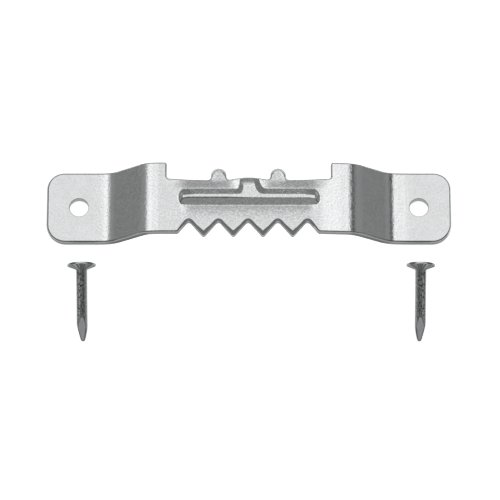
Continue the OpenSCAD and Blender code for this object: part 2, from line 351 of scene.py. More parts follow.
def halfOutline(side):  # from the tab's corner at the teeth's side round to the stem
    p = plate
    points = []
    for end, start in ((-1, -90), (1, 0)):
        cornerR = p["tabCornerR"][end]
        cornerX, cornerY = p["halfLength"] - cornerR, end * (p["halfWidth"] - cornerR)
        points += arcOf(cornerX, cornerY, cornerR, start, start + 90)
    shoulderR, recessR, lugR, rootR = p["shoulderR"], p["recessR"], p["lugR"], p["lugRootR"]
    points += arcOf(p["recessX"] + shoulderR, p["halfWidth"] - shoulderR, shoulderR, 90, 180)
    points += arcOf(p["recessX"] - recessR, p["edgeY"] + recessR, recessR, 0, -90)
    lugX = p["lugX"][side]
    points += arcOf(lugX + lugR + rootR, p["edgeY"] + rootR, rootR, 270, 180)
    points += arcOf(lugX, p["edgeY"] + p["lugHeight"][side] - lugR, lugR, 0, 180)
    points += arcOf(lugX - lugR - rootR, p["edgeY"] + rootR, rootR, 0, -90)
    points = [(x, y - p["bow"] * (y > 0) * band(x, *p["bowPlace"])) for x, y in points]
    atStem = p["swellReach"] * np.array((0.6, 0.4, 0.2))  # three points beside the stem's middle
    return points + [(x, p["edgeY"] + p["swell"] * smoothStep(p["swellReach"], 0.0, x)) for x in atStem]


def divided(corners, longest=0.2, longestAtStem=0.09, stemHalf=1.7):  # no stretch longer than these
    points = []
    for a, b in zip(corners, np.roll(corners, -1, axis=0)):
        if np.hypot(*(b - a)) < 1e-6:
            continue
        atStem = a[1] > 0 and min(abs(a[0]), abs(b[0])) < stemHalf and abs(a[1] - b[1]) < 1e-6
        count = max(1, math.ceil(np.hypot(*(b - a)) / (longestAtStem if atStem else longest)))
        points += [a + (b - a) * i / count for i in range(count)]
    return np.array(points)


def outwardNormals(loop):
    ahead = np.roll(loop, -1, axis=0) - loop
    ahead /= np.linalg.norm(ahead, axis=1)[:, None]
    behind = np.roll(ahead, 1, axis=0)
    n1 = np.stack([behind[:, 1], -behind[:, 0]], 1)
    n2 = np.stack([ahead[:, 1], -ahead[:, 0]], 1)
    return (n1 + n2) / (1 + (n1 * n2).sum(1))[:, None]


def smoothStep(low, high, value):
    t = np.clip((value - low) / (high - low), 0, 1)
    return t * t * (3 - 2 * t)


def band(value, begin, reached, fade, end):  # 1 from reached to fade, 0 before begin and past end
    return smoothStep(begin, reached, value) * (1 - smoothStep(fade, end, value))


def softFloor(t, blend):  # max(t, 0) with a rounded corner
    return np.where(t < -blend, 0, np.where(t > blend, t, (t + blend) ** 2 / (4 * blend)))


def flankShape(t, footBlend, crestBlend):  # 0 outside the rib, 1 on its crest, rounded at both
    return 1 - softFloor(1 - softFloor(t, footBlend), crestBlend)


def softMax(a, b, blend):  # max(a, b) with a rounded corner
    h = np.clip(blend - np.abs(a - b), 0, None) / blend
    return np.maximum(a, b) + h * h * blend / 4


def sideTable(side):  # height and tilt of the front by distance from the strip's middle
    p = plate
    lowerBend = p["lowerBend"][side]
    step = 0.01
    x = np.arange(0, p["halfLength"] + 1, step)
    leg = math.sin(math.radians(p["legAngle"]))
    tilt = np.arcsin(np.minimum(np.clip((x - p["upperBend"]) / p["upperBendR"][side], 0, leg),
                                np.clip((lowerBend - x) / p["lowerBendR"], 0, leg)))
    tail = math.radians(p["tailTilt"]) * (1 - tilt / tilt.max())
    onBridge = smoothStep(*p["tail"][side], x)
    onTab = 1 - smoothStep(lowerBend - p["tabTailFade"], lowerBend + p["tabTail"][side], x)
    tilt += tail * np.where(x < (p["upperBend"] + lowerBend) / 2, onBridge, onTab)
    drop = np.cumsum(np.tan(tilt)) * step
    share = p["standoff"] / drop[-1]
    return x, p["standoff"] + p["sheet"] - drop * share, np.arctan(np.tan(tilt) * share)


sideTables = {side: sideTable(side) for side in (-1, 1)}


def ribHeight(x, y, barFoot, stemFoot):
    r, ax = rib, np.abs(x)
    onRight = smoothStep(-r["sideBlend"], r["sideBlend"], x)

    def sided(pair):
        return pair[-1] + (pair[1] - pair[-1]) * onRight

    def above(pair):
        return np.where(y > 0, pair[1], pair[0])

    # how far up its flanks a point is, 0 at the foot and 1 at the crest
    shift, halfBar, stemEdge = above(r["barShift"]), r["barLength"] / 2, sided(stemFoot) / 2
    endFrom, endTo = r["crestEndReach"]
    lean = r["crestLean"] * np.clip(x, -r["crestLeanReach"], r["crestLeanReach"])
    barRun = (r["barFoot"] - r["barCrest"]) / 2 - shift + above(r["crestShift"]) \
        + above(r["crestEndShift"]) * smoothStep(halfBar - endFrom, halfBar - endTo, ax) \
        - np.where(y > 0, 0, lean)
    stemRun = (sided(r["stemFoot"]) - r["stemCrest"]) / 2
    narrower = (r["barFoot"] - barFoot) / 2
    long = 1 - (barFoot / 2 - shift - np.abs(y)) / barRun
    end = 1 - (halfBar - narrower - ax) / r["barEndRun"]
    turn = above(r["barEndTurn"])
    bar = 1 - (np.clip(long, 0, None) ** turn + np.clip(end, 0, None) ** turn) ** (1 / turn)
    stem = np.where(y > 0, (stemEdge - ax) / stemRun, -9)  # none below the bar
    beside = smoothStep(-r["stemChange"], r["stemChange"], stem - bar)
    atEnd = smoothStep(-r["endChange"], r["endChange"], end - long)
    footBlend = r["footBlend"] + (r["stemFootBlend"] - r["footBlend"]) * beside \
        + (r["endFootBlend"] - r["footBlend"]) * atEnd * (1 - beside)
    ridge = flankShape(softMax(bar, stem, sided(r["cornerBlend"])), footBlend, above(r["crestBlend"]))
    # groove below the bar
    out = np.hypot(np.clip(ax - (r["barLength"] - r["barFoot"]) / 2, 0, None), y)
    fade, reach, lip = r["grooveFade"], r["grooveReach"], r["grooveLip"]
    lower = (1 - smoothStep(-fade, fade, y)) * (1 - smoothStep(*r["grooveEnd"], ax))
    away = np.clip(out - barFoot / 2 + shift, 0, None)
    groove = -r["groove"] * lower * (np.exp(-away / reach) - lip / reach * np.exp(-away / lip))
    # pockets beside the stem
    lug = np.minimum(np.abs(x - plate["lugX"][1]), np.abs(x + plate["lugX"][-1]))
    pocketTo = r["pocketTo"] - r["pocketAtLug"] * (1 - smoothStep(*r["pocketLugReach"], lug))
    slope = (y - r["pocketFrom"]) / (pocketTo - r["pocketFrom"])
    between = sided(r["pocketBetween"])
    across = band(ax, *r["pocketPlace"]) * (between + (1 - between) * smoothStep(*r["pocketGain"], ax))
    startBlend, endBlend = r["pocketBlend"]
    pocket = across * (r["pocketDrop"] * (1 - softFloor(1 - softFloor(slope, startBlend), endBlend))
                       + r["lugTilt"] * np.clip(y - pocketTo, 0, None))
    # the stem's end at the sheet's edge
    fadeFrom, fadeTo = r["stemFadeFrom"]
    rise = r["rise"] - r["stemFade"] * smoothStep(plate["edgeY"] - fadeFrom, plate["edgeY"] + fadeTo, y)
    height, reach = r["stemApproach"]
    ramp = height * np.clip((stemEdge + reach - ax) / reach, 0, 1) * smoothStep(*r["stemApproachFrom"], y)
    low = groove + ramp - pocket
    return low + ridge * (rise - low)


def sheetPoint(x, y, depth):  # where a point of the plan lies in the bent and pressed sheet
    z, tilt = np.zeros_like(x), np.zeros_like(x)
    for side, (sx, sz, st) in sideTables.items():
        here = np.sign(x) * side >= 0
        ax = np.abs(x[here])
        z[here], tilt[here] = np.interp(ax, sx, sz), np.interp(ax, sx, st) * side
    depth = np.broadcast_to(depth, x.shape)
    share = depth / plate["sheet"]
    press = (1 - share) * ribHeight(x, y, rib["barFoot"], rib["stemFoot"]) \
        + share * ribHeight(x, y, rib["hollowBarFoot"], rib["hollowStemFoot"])
    return np.stack([x - depth * np.sin(tilt), y, z - depth * np.cos(tilt) + press], 1)


def sheetNormal(x, y, depth, reach=0.02):
    dx = sheetPoint(x + reach, y, depth) - sheetPoint(x - reach, y, depth)
    dy = sheetPoint(x, y + reach, depth) - sheetPoint(x, y - reach, depth)
    n = np.cross(dx, dy)
    return n / np.linalg.norm(n, axis=1)[:, None]


def zonePoints(xStep, yStep, xFrom, xTo, yFrom, yTo):
    teethBelow = 0.6  # the teeth reach down past the lands' edge
    x = np.arange(-plate["halfLength"], plate["halfLength"], xStep)
    y = np.arange(-plate["halfWidth"] - teethBelow, plate["halfWidth"], yStep)
    points = np.stack([g.ravel() for g in np.meshgrid(x + xStep / 2, y + yStep / 2)], 1)
    ax, y = np.abs(points[:, 0]), points[:, 1]
    return points[(ax >= xFrom) & (ax < xTo) & (y > yFrom) & (y <= yTo)]


def inLoop(points, loop):
    inside = np.zeros(len(points), bool)
    for (ax, ay), (bx, by) in zip(loop, np.roll(loop, -1, axis=0)):
        if ay != by:
            crosses = (ay > points[:, 1]) != (by > points[:, 1])
            inside ^= crosses & (points[:, 0] < ax + (bx - ax) * (points[:, 1] - ay) / (by - ay))
    return inside


def innerPoints(loops):
    edgeShare, widest, batch = 0.6, 0.24, 4000
    kept = []
    for zone in plate["zones"]:
        points = zonePoints(*zone)
        near = np.full(len(points), np.inf)
        for loop in loops:
            for start in range(0, len(points), batch):
                part = slice(start, start + batch)
                gap = np.linalg.norm(points[part, None] - loop[None], axis=2).min(1)
                near[part] = np.minimum(near[part], gap)
        points = points[near > edgeShare * min(zone[0], widest)]  # none too close to an edge
        inside = inLoop(points, loops[0]) & ~inLoop(points, loops[1]) & ~inLoop(points, loops[2])
        kept.append(points[inside])
    return np.concatenate(kept)


def rolledEdge(loop, hole=False):  # how far the roll reaches in, how deep it goes, how straight it is
    p = plate
    x, y = loop.T
    inward, ax = -outwardNormals(loop), np.abs(x)
    if hole:
        return inward * p["holeRollR"], np.full(len(loop), p["holeRollR"]), np.zeros(len(loop))
    lastNotch = (p["notchCount"] - 1) / 2 * p["notchPitch"]
    fade, end = (lastNotch + past for past in p["toothRollEnd"])
    fromRow = np.abs(x - p["notchShift"])
    atTooth = (1 - smoothStep(fade, end, fromRow)) * (y < 0)
    atTip = np.where(fromRow < lastNotch, smoothStep(-p["halfWidth"] + p["tipRollFrom"], y.min(), y), 0)
    begin, reached = (p["edgeY"] + over for over in p["lugRollFrom"])
    atLug = (ax < p["recessX"] - 1) * smoothStep(begin, reached, y)
    atTab = smoothStep(p["upperBend"], p["lowerBend"][1], ax)
    atLeftEnd = smoothStep(-p["halfLength"] + p["leftEndReach"], -p["halfLength"], x)
    lugRoll = np.where(x < 0, p["lugRoll"][-1], p["lugRoll"][1])
    radius = p["rollR"] + p["tabRoll"] * atTab + lugRoll * atLug \
        + (p["toothRoll"] + p["notchRoll"] * (1 - atTip)) * atTooth + p["leftEndRoll"] * atLeftEnd
    reach = inward * radius[:, None]
    reach[:, 1] += p["tipRoll"] * atTip
    atRecess = (ax < p["recessX"]) * (y > p["edgeY"] / 2)
    straight = atTooth + atRecess * (p["recessWear"] + (p["lugWear"] - p["recessWear"]) * atLug)
    return reach, radius + (p["tipRollDepth"] - radius) * atTip, straight


def edgeRings(loop, reach, deep, wornAndShaded):
    # rings from the front over the rolled edge, down the cut wall and round to the back, each with
    # its plan, its depth, how far its normals turn away from the front's, and if it is cut
    p, n = plate, outwardNormals(loop)
    wide = np.linalg.norm(reach, axis=1)
    slant, upright = np.arctan2(deep, wide), math.pi / 2
    rings = []
    for a in np.radians(p["rollTurns"]):
        turn = np.arctan2(deep * math.sin(a), wide * math.cos(a))
        straight = 1 - a / upright  # along the slant that wear leaves
        inward = (1 - math.sin(a)) * (1 - wornAndShaded) + straight * wornAndShaded
        downward = (1 - math.cos(a)) * (1 - wornAndShaded) + (1 - straight) * wornAndShaded
        isLast = a > upright - 0.01
        rings.append((loop + reach * inward[:, None], deep * downward,
                      turn if isLast else turn + (slant - turn) * wornAndShaded, False))
    rings += [(loop, depth, upright, True) for depth in ((deep + p["breakDepth"]) / 2, p["breakDepth"])]
    low = p["sheet"] - p["burrR"]
    for share in p["breakShares"]:
        depth = p["breakDepth"] + (low - p["breakDepth"]) * share
        rings.append((loop - n * p["breakIn"] * share, depth, upright, True))
    for a in np.radians(p["burrTurns"]):
        rings.append((loop - n * (p["breakIn"] + p["burrR"] * (1 - math.cos(a))),
                      low + p["burrR"] * math.sin(a), upright + a, True))
    return rings


def filledFace(loops):  # the points inside the loops' rolled edges, and triangles between them
    flat = np.concatenate([*loops, innerPoints(loops)])
    edges, first = [], 0
    for loop in loops:
        edges += [(first + i, first + (i + 1) % len(loop)) for i in range(len(loop))]
        first += len(loop)
    made = delaunay_2d_cdt([Vector(v) for v in flat], edges, [], 1, 1e-5)
    source = [ids[0] if ids else None for ids in made[3]]
    if None in source:
        raise ValueError("the plate's outline crosses itself")
    triangles = np.array([[source[i] for i in face] for face in made[2]])
    middle = flat[triangles].mean(1)
    return flat, triangles[~(inLoop(middle, loops[1]) | inLoop(middle, loops[2]))]


def makePlate():
    p = plate
    outer = plateOutline()
    turns = np.linspace(0, 2 * math.pi, p["holePoints"] + 1)[:-1]
    holes = [np.stack([side * p["holeX"] + p["holeR"] * np.cos(-turns), p["holeR"] * np.sin(-turns)], 1)
             for side in (-1, 1)]
    loops = [(outer, *rolledEdge(outer))] + [(hole, *rolledEdge(hole, True)) for hole in holes]
    flat, triangles = filledFace([loop + reach for loop, reach, deep, wornAndShaded in loops])
    count = len(flat)
    points = [sheetPoint(*flat.T, 0.0), sheetPoint(*flat.T, p["sheet"])]
    normals = [sheetNormal(*flat.T, 0.0), -sheetNormal(*flat.T, p["sheet"])]
    faces = [tuple(t) for t in triangles] + [tuple(t[::-1] + count) for t in triangles]
    isCut = [False] * len(faces)
    plan, shear, roll = [flat, flat], [np.zeros(count), np.ones(count)], [np.zeros(2 * count)]
    total, firstInLoop = 2 * count, 0
    for loop, reach, deep, wornAndShaded in loops:
        size = len(loop)
        n = outwardNormals(loop)
        outward = np.concatenate([n / np.linalg.norm(n, axis=1)[:, None], np.zeros((size, 1))], 1)
        above = firstInLoop + np.arange(size)
        for xy, depth, turn, cut in edgeRings(loop, reach, deep, wornAndShaded):
            depth, turn = np.broadcast_to(depth, size), np.broadcast_to(turn, size)[:, None]
            points.append(sheetPoint(*xy.T, depth))
            normal = np.cos(turn) * sheetNormal(*xy.T, depth) + np.sin(turn) * outward
            normals.append(normal / np.linalg.norm(normal, axis=1)[:, None])
            plan.append(xy)
            shear.append(depth / p["sheet"])
            roll.append(rollTone(xy, depth / deep, np.degrees(turn[:, 0]), wornAndShaded))
            here = total + np.arange(size)
            faces += zip(above, here, np.roll(here, -1), np.roll(above, -1))
            isCut += [cut] * size
            above, total = here, total + size
        below = count + firstInLoop + np.arange(size)
        faces += zip(above, below, np.roll(below, -1), np.roll(above, -1))
        isCut += [False] * size
        firstInLoop += size
    mesh = bpy.data.meshes.new("stampedPlate")
    faces = [tuple(int(i) for i in face) for face in faces]
    mesh.from_pydata((np.concatenate(points) * mm).tolist(), [], faces)
    mesh.polygons.foreach_set("material_index", np.array(isCut, np.int32))
    mesh.polygons.foreach_set("use_smooth", np.ones(len(faces), bool))
    paintPlate(mesh, *(np.concatenate(values) for values in (plan, shear, roll)))
    pairTriangles(mesh)
    mesh.normals_split_custom_set_from_vertices(np.concatenate(normals).tolist())
    return linked("stampedPlate", mesh)


# where the plate's finish and the painted shade on its rolled edges change; fours say where a zone begins,
# is reached, starts to fade and ends
platePaint = {
    "rollShadeTurn": 36,  # degrees round the roll at which its painted shade is full
    "bottomTurn": (50, 80),  # where the darker painted shade at its bottom begins and is reached
    "brightEnd": 0.75,  # how much less painted shade the roll has at the right tab's end
    "brightEndFrom": (0.7, 0.3),  # distance from that end
    "paleBelow": 0.42,  # how much less painted shade the lower part of the teeth's roll has
    "ribGrain": (7.0, 9.5),  # where the rougher sheet round the rib ends, along the strip
    "ribGrainFrom": (-3.6, -2.0),  # and where it begins, across it
    "shoulderGrain": 0.5,  # roughness of the rest of the bridge, 1 as round the rib
    "shoulderEnd": (10.4, 11.2),
    "leg": (11.0, 11.7, 15.2, 16.2),
    "upperBend": (9.9, 10.6, 12.0, 12.4),
    "lowerBend": (15.2, 15.6, 16.8, 17.6),
    "boreRim": 0.15,  # how far round a nail hole its own finish reaches
}


def rollTone(xy, depthShare, turned, wornAndShaded):  # 0 on the flat, 1 with painted shade, 2 with the darker painted shade at the roll's bottom
    c = platePaint
    begin, reached = (plate["halfLength"] - gap for gap in c["brightEndFrom"])
    bright = c["brightEnd"] * smoothStep(begin, reached, xy[:, 0])
    bright = np.maximum(bright, c["paleBelow"] * wornAndShaded * (xy[:, 1] < 0) * np.clip(depthShare, 0, 1))
    bottom, full = c["bottomTurn"]
    tone = np.clip(turned / c["rollShadeTurn"], 0, 1) + np.clip((turned - bottom) / (full - bottom), 0, 1)
    return tone * (1 - bright)


def paintPlate(mesh, plan, shear, roll):
    c = platePaint
    x, y = np.abs(plan[:, 0]), plan[:, 1]
    drawn = (1 - smoothStep(*c["ribGrain"], x)) * smoothStep(*c["ribGrainFrom"], y)
    layers = {
        "shear": shear,  # how far down the cut wall, 0 at the front and 1 at the back
        # painted shade on the rolled edges, as rollTone gives it
        "roll": roll,
        "drawn": np.maximum(drawn, c["shoulderGrain"] * (1 - smoothStep(*c["shoulderEnd"], x))),
        # the slanted legs, where the rolled and cut edges get darker painted shade
        "leg": band(x, *c["leg"]),
        "bend": band(x, *c["upperBend"]) + band(x, *c["lowerBend"]),
        "bore": np.hypot(x - plate["holeX"], y) < plate["holeR"] + c["boreRim"],
    }
    for name, values in layers.items():
        mesh.attributes.new(name, "FLOAT", "POINT").data.foreach_set("value", values.astype(np.float32))


def pairTriangles(mesh):
    work = bmesh.new()
    work.from_mesh(mesh)
    triangles = [f for f in work.faces if len(f.verts) == 3]
    bmesh.ops.join_triangles(work, faces=triangles, angle_face_threshold=0.2, angle_shape_threshold=0.6)
    work.to_mesh(mesh)
    work.free()


def linked(name, mesh):
    piece = bpy.data.objects.new(name, mesh)
    bpy.context.scene.collection.objects.link(piece)
    return piece


stampedPlate = makePlate()
print("plate:", len(stampedPlate.data.vertices), "points,", len(stampedPlate.data.polygons), "faces")

# the two wire nails; -1 stands for the side towards the other nail and 1 for the side away from it
nail = {
    "length": 8.7,
    "shankD": 1.2,
    "headD": 3.2,
    "headRim": 0.2,
    "headCone": 0.42,
    "dome": 0.05,  # how far the head's middle stands above its rim
    "rimR": 0.06,
    "neckR": 0.16,  # where the shank turns into the head
    "longFacet": 2.8,  # the wide facets' length as the solids have it, for how the nail lies
    "cutLong": 2.45,  # how far up they are really cut
    "shortFacet": {-1: 1.45, 1: 1.95},
    "facetBlend": 0.025,
    "tipShift": 0.08,  # how far the tip is bent towards the other nail
    "pointR": 0.2,
    "tipHeight": 0.45,  # how blunt the tip's end is, 1 for a round one
    "coneAngle": 35.0,
    "inset": 0.15,  # from the hole above
    "shift": 0.25,  # of both nails to the right
    "gap": 2.846,  # from the teeth's side of the strip
    "lean": 1.0,
    "sides": 96,
    "rowStep": (0.04, 0.12),  # between rows of points, round the facets and further up
}


def nailProfile():  # radius and height of each row of points, from the tip to the head's top
    n = nail
    shank, head, point, neck, rim = n["shankD"] / 2, n["headD"] / 2, n["pointR"], n["neckR"], n["rimR"]
    tipZ = point * n["tipHeight"]
    rows = [(point * math.sin(a), point * (1 - math.cos(a)) * n["tipHeight"])
            for a in np.radians(np.arange(10, 91, 16))]
    coneTop = tipZ + (shank - point) / math.tan(math.radians(n["coneAngle"]))
    rows += [(point + (shank - point) * t, tipZ + (coneTop - tipZ) * t) for t in np.linspace(0.08, 1, 14)]
    # shank
    topZ = n["length"] - n["dome"]
    rimZ = topZ - n["headRim"]
    under = rimZ - n["headCone"]
    close, wide = n["rowStep"]
    facetEnd = n["longFacet"] + 0.2
    rows += [(shank, z) for z in np.arange(coneTop + close, facetEnd, close)]
    rows += [(shank, z) for z in np.arange(facetEnd + 2 * close, under - neck, wide)]
    # slanted underside of the head
    slant = math.atan2(head - shank, n["headCone"])
    rows += [(shank + neck * (1 - math.cos(a)), under - neck / 2 + neck * math.sin(a))
             for a in np.linspace(0, slant, 6)]
    startR, startZ = rows[-1]
    rows += [(startR + (head - rim - startR) * t, startZ + (rimZ - startZ) * t)
             for t in np.linspace(0.15, 1, 10)]
    # rim and dome
    rows += [(head - rim + rim * math.cos(a), rimZ + rim * (1 + math.sin(a)))
             for a in np.radians((-60, -30, 0))]
    rows += [(head - rim + rim * math.cos(a), topZ - rim * (1 - math.sin(a)))
             for a in np.radians((0, 25, 50, 75))]
    rows += [((head - rim) * math.cos(a), topZ + n["dome"] * math.sin(a))
             for a in np.radians(np.linspace(8, 84, 12))]
    return rows


def makeNail(side):
    n = nail
    rows = nailProfile()
    turns = np.linspace(0, 2 * math.pi, n["sides"] + 1)[:-1]
    shank, point = n["shankD"] / 2, n["pointR"]
    facets = ((n["cutLong"], np.abs(np.sin(turns))),
              (n["shortFacet"][-1], -np.cos(turns)), (n["shortFacet"][1], np.cos(turns)))
    past = 0.4  # rows further than this past a facet's end aren't cut by it
    wire = [(0, 0, 0)]  # in the wire's own directions, x away from the other nail
    for radius, z in rows:
        r = np.full(len(turns), radius)
        for facet, reach in facets:
            if z < facet + past:
                plane = (point + (shank - point) / facet * z) / np.clip(reach, 1e-3, None)
                r = -softMax(-r, -plane, n["facetBlend"])
        wire += [(a * math.cos(t), a * math.sin(t), z) for a, t in zip(r, turns)]
    wire.append((0, 0, n["length"]))
    bent = n["tipShift"] * smoothStep(n["shortFacet"][-1], 0.0, np.array(wire)[:, 2])
    points = [((x - shift) * side, y, z) for (x, y, z), shift in zip(wire, bent)]
    k = n["sides"]
    faces = [(0, 1 + (i + 1) % k, 1 + i) for i in range(k)]
    for row in range(len(rows) - 1):
        a, b = 1 + row * k, 1 + (row + 1) * k
        faces += [(a + i, a + (i + 1) % k, b + (i + 1) % k, b + i) for i in range(k)]
    last = 1 + (len(rows) - 1) * k
    faces += [(last + i, last + (i + 1) % k, len(points) - 1) for i in range(k)]
    if side < 0:
        faces = [f[::-1] for f in faces]
    mesh = bpy.data.meshes.new("wireNail")
    mesh.from_pydata([Vector(v) * mm for v in points], [], faces)
    layer = mesh.attributes.new("wire", "FLOAT_VECTOR", "POINT")
    layer.data.foreach_set("vector", np.array(wire, np.float32).ravel())
    mesh.polygons.foreach_set("use_smooth", np.ones(len(faces), bool))
    mesh.transform(lyingPlace(side))
    return linked("wireNailLeft" if side < 0 else "wireNailRight", mesh)


def lyingPlace(side):  # on the head's rim and the point (or the wide facets' end, if it is lower)
    n = nail
    rim = n["headRim"] + n["dome"]
    rimZ = n["length"] - rim
    head, shank, point = n["headD"] / 2, n["shankD"] / 2, n["pointR"]
    lie = math.atan(min((head - point) / rimZ, (head - shank) / (rimZ - n["longFacet"])))
    place = Vector((side * (plate["holeX"] - n["inset"]) + n["shift"], -plate["halfWidth"] - n["gap"],
                    head * math.cos(lie) + rim * math.sin(lie)))
    lean = Matrix.Rotation(-side * math.radians(n["lean"]), 4, "Z")
    turn = lean @ Matrix.Rotation(lie - math.pi / 2, 4, "X")
    return Matrix.Translation(place * mm) @ turn @ Matrix.Translation((0, 0, -n["length"] * mm))


nailPieces = {side: makeNail(side) for side in (-1, 1)}
print("nails made")


# finishes, some with painted light and shade

def newGroup(name, inputs, outputs):
    tree = bpy.data.node_groups.new(name, "ShaderNodeTree")
    for label, kind, value in inputs:
        made = tree.interface.new_socket(label, in_out="INPUT", socket_type=kind)
        if value is not None:
            made.default_value = value
    for label, kind in outputs:
        tree.interface.new_socket(label, in_out="OUTPUT", socket_type=kind)
    return tree, tree.nodes.new("NodeGroupInput"), tree.nodes.new("NodeGroupOutput")


def makeGrainGroup():  # fine noise with coarser pits in it
    pitScale, pitDepth, maskLow, maskHigh = 0.7, 0.35, 0.35, 0.68
    tree, given, result = newGroup(
        "metalGrain",
        [("Vector", "NodeSocketVector", None), ("Scale", "NodeSocketFloat", 9000.0),
         ("Stretch", "NodeSocketVector", (1, 1, 1))],
        [("Height", "NodeSocketFloat"), ("Mask", "NodeSocketFloat")])
    vector, scale, stretch = (given.outputs[name] for name in ("Vector", "Scale", "Stretch"))
    place = put(tree, "ShaderNodeVectorMath", {0: vector, 1: stretch}, operation="MULTIPLY").outputs[0]
    fine = put(tree, "ShaderNodeTexNoise", {
        "Vector": place, "Scale": scale, "Detail": 3.0, "Roughness": 0.6}).outputs["Fac"]
    pits = put(tree, "ShaderNodeTexVoronoi", {
        "Vector": place, "Scale": calc(tree, "MULTIPLY", scale, pitScale)}).outputs["Distance"]
    tree.links.new(calc(tree, "MULTIPLY_ADD", pits, pitDepth, fine), result.inputs["Height"])
    mask = put(tree, "ShaderNodeMapRange", {"Value": fine, "From Min": maskLow, "From Max": maskHigh})
    tree.links.new(mask.outputs[0], result.inputs["Mask"])
    return tree


def makeMottleGroup():  # soft clouds
    tree, given, result = newGroup(
        "mottling",
        [("Vector", "NodeSocketVector", None), ("Scale", "NodeSocketFloat", 800.0),
         ("Spread", "NodeSocketFloat", 0.2)],
        [("Mask", "NodeSocketFloat")])
    vector, scale, spread = (given.outputs[name] for name in ("Vector", "Scale", "Spread"))
    cloud = put(tree, "ShaderNodeTexNoise", {"Vector": vector, "Scale": scale, "Detail": 4.0})
    low, high = calc(tree, "SUBTRACT", 0.5, spread), calc(tree, "ADD", 0.5, spread)
    mask = put(tree, "ShaderNodeMapRange", {
        "Value": cloud.outputs["Fac"], "From Min": low, "From Max": high})
    tree.links.new(mask.outputs[0], result.inputs["Mask"])
    return tree


grainGroup = makeGrainGroup()
mottleGroup = makeMottleGroup()


def newMaterial(name):
    material = bpy.data.materials.new(name)
    material.use_nodes = True
    tree = material.node_tree
    tree.nodes.clear()
    shader = put(tree, "ShaderNodeBsdfPrincipled")
    out = put(tree, "ShaderNodeOutputMaterial")
    tree.links.new(shader.outputs[0], out.inputs["Surface"])
    return material, tree, shader


def placed(tree, group, vector, scale, stretch=None):  # a group with this material's own values
    node = put(tree, "ShaderNodeGroup", node_tree=group)
    tree.links.new(vector, node.inputs["Vector"])
    node.inputs["Scale"].default_value = scale
    if stretch:
        node.inputs["Stretch"].default_value = stretch
    return node.outputs


def bumped(tree, shader, height, distance):
    bump = put(tree, "ShaderNodeBump", {"Height": height, "Distance": distance, "Strength": 1.0})
    tree.links.new(bump.outputs[0], shader.inputs["Normal"])


def blendColor(tree, factor, a, b):
    colors = {slot: (*color, 1) if isinstance(color, tuple) else color for slot, color in ((6, a), (7, b))}
    return put(tree, "ShaderNodeMix", {0: factor, **colors}, data_type="RGBA").outputs[2]


def blend(tree, factor, a, b):
    return put(tree, "ShaderNodeMix", {0: factor, 2: a, 3: b}, data_type="FLOAT").outputs[0]


def ramped(tree, value, low, high):  # 0 up to low, 1 from high on
    return put(tree, "ShaderNodeMapRange", {"Value": value, "From Min": low, "From Max": high},
               interpolation_type="SMOOTHSTEP").outputs[0]


zinc = {
    "light": (0.777, 0.789, 0.793),
    "dull": (0.734, 0.746, 0.75),
    "mottleScale": 600.0,
    "wornAndShaded": (0.42, 0.43, 0.436),  # painted shade on the rolled edges
    # painted shade at the roll's bottom, darker still on the legs
    "rollBottomShade": (0.27, 0.276, 0.28),
    "rollShadeOnLeg": (0.16, 0.164, 0.167),
    "roughness": (0.16, 0.22),
    "grainScale": 4800.0,
    "grainDepth": (0.007, 0.013),  # mm, on the flats and round the rib
    "bendGrain": 1.8,  # how much of the difference the bends show
    "speckle": (0.12, 0.3),  # spread in tone of the plating's crystals, in the same two places
}


def makeZinc():
    z = zinc
    material, tree, shader = newMaterial("zincPlate")
    place = put(tree, "ShaderNodeTexCoord").outputs["Object"]
    grain = placed(tree, grainGroup, place, z["grainScale"])
    cloud = placed(tree, mottleGroup, place, z["mottleScale"])
    drawn = painted(tree, "drawn")
    flat, rough = z["speckle"]
    spread = calc(tree, "MULTIPLY_ADD", drawn, rough - flat, flat)
    speckle = calc(tree, "MULTIPLY_ADD", calc(tree, "SUBTRACT", grain["Mask"], 0.5), spread, 1.0)
    sheet = scaled(tree, blendColor(tree, cloud["Mask"], z["light"], z["dull"]), speckle)
    # rolled edges: painted shade, darker at the bottom
    roll = painted(tree, "roll")
    rollShaded = blendColor(tree, roll, sheet, z["wornAndShaded"])
    bottom = blendColor(tree, painted(tree, "leg"), z["rollBottomShade"], z["rollShadeOnLeg"])
    color = blendColor(tree, calc(tree, "SUBTRACT", roll, 1.0, clamp=True), rollShaded, bottom)
    tree.links.new(color, shader.inputs["Base Color"])
    low, high = z["roughness"]
    roughness = put(tree, "ShaderNodeMapRange", {"Value": grain["Mask"], "To Min": low, "To Max": high})
    tree.links.new(roughness.outputs[0], shader.inputs["Roughness"])
    shader.inputs["Metallic"].default_value = 1.0
    low, high = (depth * mm for depth in z["grainDepth"])
    rougher = calc(tree, "MAXIMUM", drawn, calc(tree, "MULTIPLY", painted(tree, "bend"), z["bendGrain"]))
    depth = calc(tree, "MULTIPLY_ADD", rougher, high - low, low)
    bumped(tree, shader, calc(tree, "MULTIPLY", grain["Height"], depth), 1.0)
    return material


cutEdge = {
    "burnished": (0.2, 0.204, 0.208),
    "torn": (0.21, 0.214, 0.218),
    "tornFrom": (0.4, 0.55),  # how far down the wall, as shares of the sheet
    # painted shade: the cut wall is darker on the slanted legs
    "wallShadeOnLeg": (0.085, 0.088, 0.091),
    "inHole": (0.34, 0.345, 0.35),
    "roughness": 0.42,
    "grainScale": 7000.0,
    "grainStretch": (1, 1, 0.25),  # drawn out down the wall
    "grainDepth": 0.004,  # mm
}


